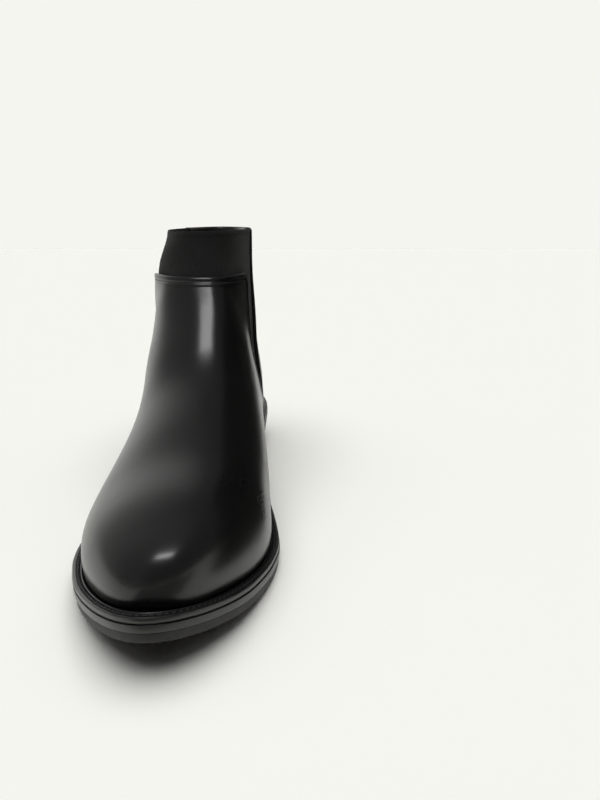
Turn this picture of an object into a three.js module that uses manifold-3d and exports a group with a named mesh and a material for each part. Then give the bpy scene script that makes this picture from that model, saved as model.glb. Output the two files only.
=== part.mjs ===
// Chelsea boot for the right foot, built as the pieces that a bootmaker joins on the last.
// Millimetres, +Z up, toe towards -Y, inner (medial) side towards +X.
// Shapes are drawn in boot coordinates: x across, s along the sole from heel back to toe tip,
// z above the ground. The finished group is then moved so that its origin is under its middle.
import * as THREE from 'three';
import { mergeVertices } from 'three/addons/utils/BufferGeometryUtils.js';
import Module from 'manifold-3d';

const wasm = await Module();
wasm.setup();

// Driving dimensions
const SOLE_LENGTH = 298.5;
const BALL_WIDTH = 99.6;
const RIM_HEIGHT = 160;
const RIM_RISE = 3;
const VAMP_HEIGHT = 134;
const VAMP_CORNER_RADIUS = 8;
const GORE_BOTTOM = 46;
const TOE_SPRING = 18.5;
const TOE_SWING = 4.5;
const SHAFT_SWAY = 4;
const HEEL_HEIGHT = 18;
const HEEL_LENGTH = 77;
const HEEL_TAPER = 0.5;
const HEEL_LIFT_COUNT = 3;
const HEEL_INSET = 1.5;
const TOP_PIECE_THICKNESS = 5.4;
const OUTSOLE_THICKNESS = 4.2;
const OUTSOLE_INSET = 1.2;
const MIDSOLE_THICKNESS = 3.2;
const WELT_THICKNESS = 3;
const WELT_WIDTH = 10;
const WELT_INSET = 0.5;
const LEATHER_THICKNESS = 1.6;
const ELASTIC_THICKNESS = 1.2;
const LINING_THICKNESS = 1;
const INSOLE_THICKNESS = 2.8;
const INSOCK_THICKNESS = 1.2;
const CUSHION_THICKNESS = 1.6;
const CUSHION_LENGTH = 80;
const SHANK_THICKNESS = 1.2;
const SHANK_WIDTH = 13;
const SHANK_START = 51;
const SHANK_LENGTH = 128;
const NAIL_RADIUS = 1.1;
const NAIL_COUNT = 5;
const NAIL_ARC_RADIUS = 20;
const NAIL_ARC = 1.1 * Math.PI;
const TOE_PUFF_LENGTH = 55;
const COUNTER_LENGTH = 60;
const COUNTER_TOP_LENGTH = 45;
const COUNTER_HEIGHT = 72;
const COUNTER_FRONT_HEIGHT = 38;
const THREAD_WIDTH = 0.8;
const BACK_STRIP_WIDTH = 16;
const SEAM_ALLOWANCE = 8;
const STITCH_MARGIN = 3.2;
const WELT_STITCH_INSET = 2.2;
const GAP = 0.3;

// Size at which the curves below are drawn
const REFERENCE = { length: 298.5, width: 99.6, height: 167 };
const STEP_ALONG = 11;
const ROUNDED_END = 12;
const POINTS_AROUND = 26;
const RINGS_PER_STATION = 2;
const REACH = 400;
const EDGE_POINTS = 280;
const NEAREST_POINTS = 0.05;
const ROUND_STEPS = 5;
const END_HALF_WIDTH = 0.4;
const FIRST_RING = 0.12;
const LAST_RING_BACK = 0.02;
const THREAD_CLEARANCE = 2;

// Sections of the upper from toe to rim: front (or top) point s, z; back (or bottom) point s, z;
// where the widest line lies between them; medial and lateral half widths; roundness above, below;
// how far the ridge of the instep leans towards the medial side.
const STATIONS = [
  [291, 30, 291, 30, 0.5, 0, 0, 2.1, 2.2, 0],
  [286.3, 44, 286.3, 7, 0.6, 14.5, 12.4, 2.1, 2.3, 4],
  [272, 51.6, 272, 3, 0.47, 26.5, 25.6, 2.1, 2.4, 7],
  [252.5, 58.5, 252.5, -4, 0.42, 37, 37, 2, 2.5, 9],
  [229.5, 64.5, 229.5, -6, 0.38, 44, 44.2, 1.8, 2.5, 10],
  [205, 75, 205, -5, 0.32, 44, 45.5, 1.75, 2.4, 10],
  [175, 90.5, 172, -2, 0.31, 41.5, 42, 1.8, 2.1, 10],
  [156.5, 108, 135, 3, 0.34, 38, 38, 1.95, 2, 9],
  [143, 124.5, 92, 14, 0.36, 34.5, 37, 2.2, 2.1, 8],
  [133.5, 138, 48, 12, 0.34, 31.5, 36.5, 2.6, 2.4, 5],
  [127.5, 146.5, 8.5, 19, 0.42, 30, 35.5, 2.9, 2.5, 4],
  [123.5, 153.5, 2.8, 48, 0.46, 29.5, 35, 3, 2.3, 3],
  [120.5, 160, 7.5, 86, 0.5, 29, 33, 3, 2.2, 3],
  [118.8, 166, 10.5, 124, 0.55, 28.8, 28.8, 2.8, 2.2, 4],
  [118, 171.5, 8, 155, 0.57, 29.2, 25.8, 2.7, 2.2, 4],
  [117.5, 184, 5, 188, 0.57, 29.5, 24.5, 2.7, 2.2, 4],
];

// Edge of the sole seen from above: x, s, starting at the heel back, round by the medial side
const SOLE_EDGE = [
  [0, 0], [15, 3.8], [26, 16], [31.5, 36], [33, 62], [33.5, 95], [35, 128], [39.5, 160],
  [45.5, 190], [48.6, 217], [46.3, 235], [42, 250], [36.5, 264], [29.5, 276], [19.5, 288.3],
  [9.5, 296], [0.5, 298.5], [-8.5, 295.8], [-18.3, 288], [-27.8, 277], [-36.2, 264.6], [-43.3, 250],
  [-48.6, 235], [-51, 217.5], [-48, 190], [-41.5, 160], [-38, 128], [-37, 95], [-36.5, 62],
  [-34.5, 36], [-28.5, 16], [-16.5, 3.8],
];

// Edge of the elastic gore seen from the side: s, and height as a share of the way from the gore's
// lowest point to the vamp's top edge
const GORE_EDGE = [
  [36, 1.7], [44, 1.1], [52, 0.7], [62, 0.35], [73, 0.08], [83, 0], [92, 0.08], [95.5, 0.35],
  [94, 0.7], [90, 1], [89, 1.7],
];

const alongScale = SOLE_LENGTH / REFERENCE.length;
const acrossScale = BALL_WIDTH / REFERENCE.width;
const upScale = RIM_HEIGHT / REFERENCE.height;

// Levels of the sole layers above the underside of the outsole
const midsoleLevel = OUTSOLE_THICKNESS + GAP;
const weltLevel = midsoleLevel + MIDSOLE_THICKNESS + GAP;
const seatLevel = weltLevel + WELT_THICKNESS + GAP;
const insockLevel = seatLevel + INSOLE_THICKNESS + GAP;

// Depths of the upper's layers below its outer face
const middleDepth = LEATHER_THICKNESS + GAP;
const liningDepth = middleDepth + ELASTIC_THICKNESS + GAP;
const insideDepth = liningDepth + LINING_THICKNESS;

function undersideHeight(s) {
  const ballBack = 0.62 * SOLE_LENGTH;
  const ballFront = 0.7 * SOLE_LENGTH;
  if (s <= HEEL_LENGTH) return HEEL_HEIGHT;
  if (s < ballBack) {
    const t = (s - HEEL_LENGTH) / (ballBack - HEEL_LENGTH);
    return HEEL_HEIGHT * (1 + Math.cos(Math.PI * t)) / 2;
  }
  const rise = Math.max(0, (s - ballFront) / (SOLE_LENGTH - ballFront));
  return TOE_SPRING * rise * rise;
}

function rimHeight(s) {
  return RIM_HEIGHT + RIM_RISE * (1 - s / (118 * alongScale));
}

function toeSwing(s) {
  const t = Math.max(0, (s / SOLE_LENGTH - 0.4) / 0.6);
  return TOE_SWING * t ** 1.5;
}

// The shaft stands a little to the lateral side of the heel
function shaftSway(z) {
  const t = THREE.MathUtils.smoothstep(z, 0.25 * RIM_HEIGHT, 0.57 * RIM_HEIGHT);
  return -SHAFT_SWAY * t;
}

// Solids from grids of points

function solidFrom(geometry) {
  geometry.deleteAttribute('normal');
  geometry.deleteAttribute('uv');
  const merged = mergeVertices(geometry, 1e-5);
  return new wasm.Manifold(new wasm.Mesh({
    numProp: 3,
    vertProperties: new Float32Array(merged.attributes.position.array),
    triVerts: new Uint32Array(merged.index.array),
  }));
}

function geometryFrom(solid) {
  const mesh = solid.getMesh();
  const geometry = new THREE.BufferGeometry();
  geometry.setAttribute('position', new THREE.BufferAttribute(mesh.vertProperties, 3));
  geometry.setIndex(new THREE.BufferAttribute(mesh.triVerts, 1));
  geometry.computeVertexNormals();
  return geometry;
}

// Rings run round so that (next point) x (next ring) points outwards; both ends close on their middle
function ringSolid(rings) {
  const count = rings[0].length;
  const points = rings.flat();
  const index = [];
  for (let ring = 0; ring + 1 < rings.length; ring++) {
    for (let j = 0; j < count; j++) {
      const a = ring * count + j;
      const b = ring * count + (j + 1) % count;
      index.push(a, b, a + count, b, b + count, a + count);
    }
  }
  const centreOf = (ring) => ring.reduce((sum, p) => sum.add(p), new THREE.Vector3()).divideScalar(count);
  const first = points.push(centreOf(rings[0])) - 1;
  const last = points.push(centreOf(rings[rings.length - 1])) - 1;
  const lastRing = (rings.length - 1) * count;
  for (let j = 0; j < count; j++) {
    const next = (j + 1) % count;
    index.push(first, next, j);
    index.push(last, lastRing + j, lastRing + next);
  }
  const geometry = new THREE.BufferGeometry().setFromPoints(points);
  geometry.setIndex(index);
  return solidFrom(geometry);
}

// The upper's surface

function stationVector(row) {
  const [frontS, frontZ, backS, backZ, share, medial, lateral, roundAbove, roundBelow, lean] = row;
  const s = (backS + share * (frontS - backS)) * alongScale;
  const z = (backZ + share * (frontZ - backZ)) * upScale;
  return [
    s, z,
    frontS * alongScale - s, frontZ * upScale - z,
    backS * alongScale - s, backZ * upScale - z,
    medial * acrossScale, lateral * acrossScale,
    roundAbove, roundBelow, lean * acrossScale,
  ];
}

const sections = STATIONS.map(stationVector);
// Mirror of the second station through the toe tip, so that the toe closes round
const beforeToe = sections[1].map((value, k) => (k >= 2 && k <= 7 ? -value : value));

function sectionAt(t) {
  const k = Math.min(Math.floor(t), sections.length - 2);
  const u = t - k;
  const p0 = k > 0 ? sections[k - 1] : beforeToe;
  const p1 = sections[k];
  const p2 = sections[k + 1];
  const p3 = sections[Math.min(k + 2, sections.length - 1)];
  return p1.map((value, i) => {
    const slope1 = (p2[i] - p0[i]) / 2;
    const slope2 = (p3[i] - value) / 2;
    const step = p2[i] - value;
    return value + slope1 * u + (3 * step - 2 * slope1 - slope2) * u * u
      + (slope1 + slope2 - 2 * step) * u * u * u;
  });
}

function skinPoint(t, angle) {
  const [s, z, frontS, frontZ, backS, backZ, medial, lateral, above, below, lean] = sectionAt(t);
  const up = Math.cos(angle);
  const across = Math.sin(angle);
  const power = 2 / (up > 0 ? above : below);
  const reach = Math.abs(up) ** power;
  const width = Math.sign(across) * Math.abs(across) ** power * (across > 0 ? medial : lateral);
  const pointS = s + reach * (up > 0 ? frontS : backS);
  const pointZ = z + reach * (up > 0 ? frontZ : backZ);
  const ridge = lean * Math.max(up, 0) * reach;
  return new THREE.Vector3(width + ridge + toeSwing(pointS) + shaftSway(pointZ), -pointS, pointZ);
}

function skinNormal(t, angle) {
  const d = 0.02;
  const t0 = Math.max(t - d, 0.001);
  const alongStep = skinPoint(t + d, angle).sub(skinPoint(t0, angle));
  const aroundStep = skinPoint(Math.max(t, d), angle + d).sub(skinPoint(Math.max(t, d), angle - d));
  return aroundStep.cross(alongStep).normalize();
}

// The whole last, cut square at the top, with its surface moved inwards by depth
function lastSolid(depth) {
  const ringCount = (sections.length - 1) * RINGS_PER_STATION;
  const rings = [];
  for (let i = 0; i <= ringCount; i++) {
    const back = i === ringCount ? LAST_RING_BACK : 0;
    const t = Math.max(i / RINGS_PER_STATION, FIRST_RING) - back;
    const ring = [];
    for (let j = 0; j < POINTS_AROUND; j++) {
      const angle = (j + 0.5) * 2 * Math.PI / POINTS_AROUND;
      ring.push(skinPoint(t, angle).addScaledVector(skinNormal(t, angle), -depth));
    }
    rings.push(ring);
  }
  return ringSolid(rings);
}

// Prism of a side-view outline (s, z), from one x to another
function sidePrism(outline, fromX, toX) {
  const corners = outline.map(([s, z]) => new THREE.Vector2(s, z));
  const apart = corners.filter((corner, i) => {
    const next = corners[(i + 1) % corners.length];
    return corner.distanceTo(next) > NEAREST_POINTS;
  });
  const shape = new THREE.Shape(apart);
  const geometry = new THREE.ExtrudeGeometry(shape, { depth: toX - fromX, bevelEnabled: false });
  geometry.translate(0, 0, -toX);
  const toBoot = new THREE.Matrix4().makeBasis(
    new THREE.Vector3(0, -1, 0),
    new THREE.Vector3(0, 0, 1),
    new THREE.Vector3(-1, 0, 0),
  );
  geometry.applyMatrix4(toBoot);
  return solidFrom(geometry);
}

// The sole's plan

function soleSides(inset) {
  const keys = SOLE_EDGE.map(([x, s]) => new THREE.Vector3(x * acrossScale, s * alongScale, 0));
  const curve = new THREE.CatmullRomCurve3(keys, true, 'centripetal');
  const points = curve.getPoints(EDGE_POINTS).slice(0, -1);
  const count = points.length;
  const moved = points.map((point, i) => {
    const step = points[(i + 1) % count].clone().sub(points[(i + count - 1) % count]).normalize();
    return new THREE.Vector3(point.x - step.y * inset, point.y + step.x * inset, 0);
  });
  const toe = moved.reduce((best, p, i) => (p.y > moved[best].y ? i : best), 0);
  const heel = moved.reduce((best, p, i) => (p.y < moved[best].y ? i : best), 0);
  const turned = (from, step) => {
    const side = [];
    for (let i = from; ; i = (i + step + count) % count) {
      side.push(moved[i]);
      if (i === toe) return side;
    }
  };
  return { medial: turned(heel, 1), lateral: turned(heel, -1) };
}

function crossing(side, s) {
  for (let i = 0; i + 1 < side.length; i++) {
    if (s <= side[i + 1].y) {
      const t = (s - side[i].y) / (side[i + 1].y - side[i].y);
      return side[i].x + t * (side[i + 1].x - side[i].x);
    }
  }
  return side[side.length - 1].x;
}

// Places along the sole at which a layer has its corners: even steps, closer at the round ends
function placesAlong(from, to, flatEnd) {
  const places = [];
  const rounding = (k) => ROUNDED_END * (1 - Math.cos(k * Math.PI / (2 * ROUND_STEPS)));
  for (let k = 0; k <= ROUND_STEPS; k++) places.push(from + rounding(k));
  const evenEnd = flatEnd ? to : to - ROUNDED_END;
  for (let s = STEP_ALONG; s < evenEnd - 1; s += STEP_ALONG) {
    if (s > from + ROUNDED_END + 1) places.push(s);
  }
  if (flatEnd) return [...places, to];
  for (let k = ROUND_STEPS; k >= 0; k--) places.push(to - rounding(k));
  return places;
}

// A layer between two surfaces z = bottom(s) and z = top(s), inside the given sides
function layerSolid(sides, places, bottom, top) {
  const toe = sides.medial[sides.medial.length - 1].y;
  const rings = places.map((s, i) => {
    const closed = i === 0 || s > toe - END_HALF_WIDTH;
    const medial = crossing(sides.medial, s) + toeSwing(s) + (closed ? END_HALF_WIDTH : 0);
    const lateral = crossing(sides.lateral, s) + toeSwing(s) - (closed ? END_HALF_WIDTH : 0);
    return [
      new THREE.Vector3(lateral, -s, top(s)),
      new THREE.Vector3(medial, -s, top(s)),
      new THREE.Vector3(medial, -s, bottom(s)),
      new THREE.Vector3(lateral, -s, bottom(s)),
    ];
  });
  return ringSolid(rings.reverse());
}

function soleLayer(inset, level, thickness) {
  const sides = soleSides(inset);
  const places = placesAlong(sides.medial[0].y, sides.medial[sides.medial.length - 1].y, false);
  return layerSolid(
    sides,
    places,
    (s) => undersideHeight(s) + level,
    (s) => undersideHeight(s) + level + thickness,
  );
}

function heelLayer(inset, bottomZ, topZ) {
  const sides = soleSides(inset);
  const places = placesAlong(sides.medial[0].y, HEEL_LENGTH - inset, true);
  return layerSolid(sides, places, () => bottomZ, () => topZ);
}

const PAST_HEEL = -ROUNDED_END;
const PAST_TOE = SOLE_LENGTH + ROUNDED_END;

// Everything between two levels above the sole's underside, as wide and long as the boot
function slab(fromLevel, toLevel, fromS = PAST_HEEL, toS = PAST_TOE, halfWidth = REACH / 4) {
  const places = [fromS];
  for (let s = PAST_HEEL; s < PAST_TOE; s += STEP_ALONG) {
    if (s > fromS && s < toS) places.push(s);
  }
  places.push(toS);
  const rings = places.map((s) => {
    const low = undersideHeight(s) + fromLevel;
    const high = undersideHeight(s) + toLevel;
    return [
      new THREE.Vector3(-halfWidth, -s, high),
      new THREE.Vector3(halfWidth, -s, high),
      new THREE.Vector3(halfWidth, -s, low),
      new THREE.Vector3(-halfWidth, -s, low),
    ];
  });
  return ringSolid(rings.reverse());
}

// Outlines on the side of the upper

function gorePoints(grow) {
  const keys = GORE_EDGE.map(([s, share]) => new THREE.Vector3(
    s * alongScale,
    GORE_BOTTOM + share * (VAMP_HEIGHT - GORE_BOTTOM),
    0,
  ));
  const points = new THREE.CatmullRomCurve3(keys).getPoints(48);
  return points.map((point, i) => {
    const before = points[Math.max(i - 1, 0)];
    const after = points[Math.min(i + 1, points.length - 1)];
    const step = after.clone().sub(before).normalize();
    return [point.x + step.y * grow, point.y - step.x * grow];
  });
}

const goreLow = 83 * alongScale;

// Where a line of points crosses a distance along the boot
function crossingHeight(points, s) {
  const i = points.findIndex(([ahead]) => ahead > s);
  const [s0, z0] = points[i - 1];
  const [s1, z1] = points[i];
  return z0 + (z1 - z0) * (s - s0) / (s1 - s0);
}

function roundedCorner(s, z, radius) {
  const corner = [];
  for (let k = 0; k <= 4; k++) {
    const angle = k * Math.PI / 8;
    corner.push([s + radius * (1 - Math.cos(angle)), z - radius * (1 - Math.sin(angle))]);
  }
  return corner;
}

// The vamp's outline: up the side seam and the gore's front edge, round the corner, over the instep
function vampOutline(margin, seamMargin = margin) {
  const seam = goreLow + GAP / 2 + seamMargin;
  const top = VAMP_HEIGHT - margin;
  const radius = VAMP_CORNER_RADIUS - margin;
  const gore = gorePoints(margin);
  const edge = gore.filter(([s, z]) => s > seam && z < top - radius);
  const [cornerS] = edge[edge.length - 1];
  return [
    [REACH, -REACH], [seam, -REACH], [seam, crossingHeight(gore, seam)], ...edge,
    ...roundedCorner(cornerS, top, radius), [REACH, top],
  ];
}

// The quarters' outline: behind the side seam and the gore's back edge
function quarterOutline(margin, seamMargin = margin) {
  const seam = goreLow - GAP / 2 - seamMargin;
  const gore = gorePoints(margin);
  const edge = gore.filter(([s]) => s < seam);
  const [topS] = edge[0];
  const seamTop = crossingHeight(gore, seam);
  return [
    [topS, REACH], [-REACH, REACH], [-REACH, -REACH], [seam, -REACH], [seam, seamTop],
    ...edge.reverse(),
  ];
}

// The elastic's outline: the gore with its seam allowance, widened over the whole front above the vamp
function elasticOutline() {
  const low = VAMP_HEIGHT - SEAM_ALLOWANCE;
  const edge = gorePoints(SEAM_ALLOWANCE).filter(([s, z]) => s < goreLow || z < low);
  const [topS] = edge[0];
  const [frontS] = edge[edge.length - 1];
  return [[topS, REACH], ...edge, [frontS, low], [REACH, low], [REACH, REACH]];
}

// Layers of the upper

const belowSeat = slab(-REACH, seatLevel);
const aboveRim = sidePrism(
  [[-REACH, rimHeight(-REACH)], [-REACH, REACH], [REACH, REACH], [REACH, rimHeight(REACH)]],
  -REACH,
  REACH,
);

function layerOfUpper(outerDepth, innerDepth) {
  return lastSolid(outerDepth).subtract(lastSolid(innerDepth)).subtract(belowSeat).subtract(aboveRim);
}

function within(solid, outline, fromX = -REACH, toX = REACH) {
  return solid.intersect(sidePrism(outline, fromX, toX));
}

// A row of stitches, drawn as one raised cord along an outline's edge
function stitchRow(outlineAt, margin, fromX, toX) {
  const band = sidePrism(outlineAt(margin), fromX, toX).subtract(
    sidePrism(outlineAt(margin + THREAD_WIDTH), fromX - 1, toX + 1),
  );
  const aboveWelt = slab(seatLevel + THREAD_CLEARANCE, REACH);
  return layerOfUpper(-GAP - THREAD_WIDTH, -GAP).intersect(band).intersect(aboveWelt);
}

const leatherLayer = layerOfUpper(0, LEATHER_THICKNESS);
const middleLayer = layerOfUpper(middleDepth, middleDepth + ELASTIC_THICKNESS);
const liningLayer = layerOfUpper(liningDepth, insideDepth);
const inside = lastSolid(insideDepth + GAP);

function backStrip() {
  const half = BACK_STRIP_WIDTH / 2;
  const strip = [[-REACH, -REACH], [HEEL_LENGTH / 2, -REACH], [HEEL_LENGTH / 2, REACH], [-REACH, REACH]];
  return within(layerOfUpper(-GAP - LINING_THICKNESS, -GAP), strip, -half, half);
}

function toePuff() {
  const line = SOLE_LENGTH - TOE_PUFF_LENGTH;
  return within(middleLayer, [[line, -REACH], [REACH, -REACH], [REACH, REACH], [line, REACH]]);
}

function heelCounter() {
  return within(middleLayer, [
    [-REACH, -REACH],
    [COUNTER_LENGTH, -REACH],
    [COUNTER_LENGTH, COUNTER_FRONT_HEIGHT],
    [COUNTER_TOP_LENGTH, COUNTER_HEIGHT],
    [-REACH, COUNTER_HEIGHT],
  ]);
}

// Sole and heel

function nailPlaces() {
  const places = [];
  for (let k = 0; k < NAIL_COUNT; k++) {
    const angle = (k / (NAIL_COUNT - 1) - 0.5) * NAIL_ARC;
    places.push([NAIL_ARC_RADIUS * Math.sin(angle), HEEL_LENGTH / 2 - NAIL_ARC_RADIUS * Math.cos(angle)]);
  }
  return places;
}

function upright(radius, x, s, fromZ, toZ) {
  const geometry = new THREE.CylinderGeometry(radius, radius, toZ - fromZ, 12);
  geometry.rotateX(Math.PI / 2);
  geometry.translate(x, -s, (fromZ + toZ) / 2);
  return solidFrom(geometry);
}

function withNailHoles(solid) {
  return nailPlaces().reduce(
    (rest, [x, s]) => rest.subtract(upright(NAIL_RADIUS + GAP, x, s, -REACH, REACH)),
    solid,
  );
}

function welt() {
  const ring = soleLayer(WELT_INSET, weltLevel, WELT_THICKNESS);
  return ring.subtract(soleLayer(WELT_WIDTH, weltLevel - 1, WELT_THICKNESS + 2));
}

// The welt's stitching runs round the forepart, from one end of the heel to the other
function weltThread() {
  const ring = soleLayer(WELT_STITCH_INSET, seatLevel, THREAD_WIDTH);
  const inner = soleLayer(WELT_STITCH_INSET + THREAD_WIDTH, seatLevel - 1, THREAD_WIDTH + 2);
  return ring.subtract(inner).intersect(slab(-REACH, REACH, HEEL_LENGTH, PAST_TOE));
}

function shank(grow) {
  const top = weltLevel + WELT_THICKNESS + (grow > 0 ? REACH : 0);
  const bottom = weltLevel + WELT_THICKNESS - SHANK_THICKNESS - grow;
  const end = SHANK_START + SHANK_LENGTH;
  return slab(bottom, top, SHANK_START - grow, end + grow, SHANK_WIDTH / 2 + grow);
}

function cushion(grow) {
  const top = seatLevel + INSOLE_THICKNESS + (grow > 0 ? REACH : 0);
  const bottom = seatLevel + INSOLE_THICKNESS - CUSHION_THICKNESS - grow;
  const place = slab(bottom, top, PAST_HEEL, CUSHION_LENGTH + grow);
  return lastSolid(insideDepth + SEAM_ALLOWANCE - grow).intersect(place);
}

const BLACK_CALF = new THREE.MeshStandardMaterial({ color: 0x141414, roughness: 0.28 });
const BLACK_ELASTIC = new THREE.MeshStandardMaterial({ color: 0x0b0b0b, roughness: 0.95 });
const BLACK_THREAD = new THREE.MeshStandardMaterial({ color: 0x161616, roughness: 0.7 });
const LINING_LEATHER = new THREE.MeshStandardMaterial({ color: 0x1d1b1a, roughness: 0.75 });
const EDGE_LEATHER = new THREE.MeshStandardMaterial({ color: 0x1a1a1a, roughness: 0.45 });
const SOLE_RUBBER = new THREE.MeshStandardMaterial({ color: 0x131313, roughness: 0.6 });
const STIFFENER = new THREE.MeshStandardMaterial({ color: 0xb9a584, roughness: 0.85 });
const INSOLE_LEATHER = new THREE.MeshStandardMaterial({ color: 0xa98058, roughness: 0.8 });
const CORK = new THREE.MeshStandardMaterial({ color: 0x9a6f45, roughness: 0.95 });
const FOAM = new THREE.MeshStandardMaterial({ color: 0xcfc6b0, roughness: 0.95 });
const STEEL = new THREE.MeshStandardMaterial({ color: 0x9c9fa3, roughness: 0.35, metalness: 1 });

const boot = new THREE.Group();

function add(name, solid, material) {
  const mesh = new THREE.Mesh(geometryFrom(solid), material);
  mesh.name = name;
  boot.add(mesh);
}

// Bottom
const liftThickness = (HEEL_HEIGHT - GAP - TOP_PIECE_THICKNESS) / HEEL_LIFT_COUNT - GAP;
add('outsole', withNailHoles(soleLayer(OUTSOLE_INSET, 0, OUTSOLE_THICKNESS)), SOLE_RUBBER);
add('midsole', withNailHoles(soleLayer(0, midsoleLevel, MIDSOLE_THICKNESS)), EDGE_LEATHER);
add('welt', welt(), EDGE_LEATHER);
const topPieceInset = HEEL_INSET + HEEL_TAPER * HEEL_LIFT_COUNT;
add('heel_top_piece', heelLayer(topPieceInset, 0, TOP_PIECE_THICKNESS), SOLE_RUBBER);
for (let k = 0; k < HEEL_LIFT_COUNT; k++) {
  const bottomZ = TOP_PIECE_THICKNESS + GAP + k * (liftThickness + GAP);
  const inset = HEEL_INSET + HEEL_TAPER * (HEEL_LIFT_COUNT - 1 - k);
  const lift = withNailHoles(heelLayer(inset, bottomZ, bottomZ + liftThickness));
  add(`heel_lift_${k + 1}`, lift, EDGE_LEATHER);
}
nailPlaces().forEach(([x, s], k) => {
  const topZ = HEEL_HEIGHT + midsoleLevel + MIDSOLE_THICKNESS;
  add(`heel_nail_${k + 1}`, upright(NAIL_RADIUS, x, s, TOP_PIECE_THICKNESS + GAP, topZ), STEEL);
});
const cork = soleLayer(WELT_WIDTH + GAP, weltLevel, WELT_THICKNESS);
add('cork_filler', cork.subtract(shank(GAP)), CORK);
add('shank', shank(0), STEEL);
const insole = inside.intersect(slab(seatLevel, seatLevel + INSOLE_THICKNESS));
add('insole_board', insole.subtract(cushion(GAP)), INSOLE_LEATHER);
add('heel_cushion', cushion(0), FOAM);
add('insock', inside.intersect(slab(insockLevel, insockLevel + INSOCK_THICKNESS)), LINING_LEATHER);
add('welt_thread', weltThread(), BLACK_THREAD);

// Upper
add('vamp', within(leatherLayer, vampOutline(0)), BLACK_CALF);
add('quarter_medial', within(leatherLayer, quarterOutline(0), GAP / 2, REACH), BLACK_CALF);
add('quarter_lateral', within(leatherLayer, quarterOutline(0), -REACH, -GAP / 2), BLACK_CALF);
add('back_strip', backStrip(), BLACK_CALF);
add('elastic_collar', within(middleLayer, elasticOutline()), BLACK_ELASTIC);
add('toe_puff', toePuff(), STIFFENER);
add('heel_counter', heelCounter(), STIFFENER);
add('vamp_lining', within(liningLayer, vampOutline(-SEAM_ALLOWANCE / 2, 0)), LINING_LEATHER);
add('quarter_lining', within(liningLayer, quarterOutline(-SEAM_ALLOWANCE / 2, 0)), LINING_LEATHER);
const vampThread = stitchRow(vampOutline, STITCH_MARGIN, -REACH, REACH);
const medialThread = stitchRow(quarterOutline, STITCH_MARGIN, BACK_STRIP_WIDTH, REACH);
const lateralThread = stitchRow(quarterOutline, STITCH_MARGIN, -REACH, -BACK_STRIP_WIDTH);
add('vamp_thread', vampThread, BLACK_THREAD);
add('quarter_thread_medial', medialThread, BLACK_THREAD);
add('quarter_thread_lateral', lateralThread, BLACK_THREAD);

const box = new THREE.Box3().setFromObject(boot);
const middle = box.getCenter(new THREE.Vector3());
boot.position.set(-middle.x, -middle.y, -box.min.z);

export default boot;
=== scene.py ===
"""Chelsea boot for the right foot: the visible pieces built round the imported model.

Shapes are worked out in millimetres in boot coordinates: x across, s along the sole from heel back
to toe tip, z above the ground. place() moves them into the model's frame, in metres.
"""
import math

import bpy
import numpy as np
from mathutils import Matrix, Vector


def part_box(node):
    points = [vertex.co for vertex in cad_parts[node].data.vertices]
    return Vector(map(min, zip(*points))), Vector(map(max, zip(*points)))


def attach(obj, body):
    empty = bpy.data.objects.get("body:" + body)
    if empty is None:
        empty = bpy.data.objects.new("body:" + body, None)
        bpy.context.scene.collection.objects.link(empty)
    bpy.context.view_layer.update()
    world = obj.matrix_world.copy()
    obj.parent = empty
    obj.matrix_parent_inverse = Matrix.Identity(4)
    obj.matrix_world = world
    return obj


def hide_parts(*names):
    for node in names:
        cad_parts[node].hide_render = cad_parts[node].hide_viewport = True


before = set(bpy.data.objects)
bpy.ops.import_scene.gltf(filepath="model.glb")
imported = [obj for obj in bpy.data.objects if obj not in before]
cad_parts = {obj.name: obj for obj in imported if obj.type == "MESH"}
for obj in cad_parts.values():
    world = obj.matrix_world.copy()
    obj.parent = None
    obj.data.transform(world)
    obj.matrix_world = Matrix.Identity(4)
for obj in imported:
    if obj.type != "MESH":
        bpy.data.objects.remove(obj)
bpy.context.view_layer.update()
MM = 0.001


# ---------------------------------------------------------------- sizes taken from the frame

def node_box(node):
    low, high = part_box(node)
    return np.array(low) / MM, np.array(high) / MM


def height_of(node):
    low, high = node_box(node)
    return high[2] - low[2]


sole_low, sole_high = node_box("midsole")
SOLE_LENGTH = float(sole_high[1] - sole_low[1])
MIDDLE_S = float(sole_high[1])
GAP = 0.3
TOP_PIECE_THICKNESS = float(height_of("heel_top_piece"))
LIFT_THICKNESS = float(height_of("heel_lift_1"))
HEEL_HEIGHT = float(node_box("heel_lift_3")[1][2]) + GAP
HEEL_LENGTH = 77.0
HEEL_TAPER = 0.5
TOE_SPRING = 18.5
TOE_SWING = 4.5
SHAFT_SWAY = 4.0
RIM_HEIGHT = 160.0
RIM_RISE = 3.0
VAMP_HEIGHT = 134.0
VAMP_CORNER_RADIUS = 8.0
GORE_BOTTOM = 46.0
OUTSOLE_THICKNESS = 4.2
MIDSOLE_THICKNESS = 3.2
WELT_THICKNESS = 3.0
LEATHER_THICKNESS = 1.6
ELASTIC_THICKNESS = 1.2
LINING_THICKNESS = 1.0
SEAM_ALLOWANCE = 8.0
STITCH_MARGIN = 3.4
BACK_STRIP_WIDTH = 16.0
HEEL_INSET = 1.5

MIDSOLE_LEVEL = OUTSOLE_THICKNESS + GAP
WELT_LEVEL = MIDSOLE_LEVEL + MIDSOLE_THICKNESS + GAP
WELT_TOP = WELT_LEVEL + WELT_THICKNESS
SEAT_LEVEL = WELT_TOP + GAP
MIDDLE_DEPTH = LEATHER_THICKNESS + GAP
LINING_DEPTH = MIDDLE_DEPTH + ELASTIC_THICKNESS + GAP

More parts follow.
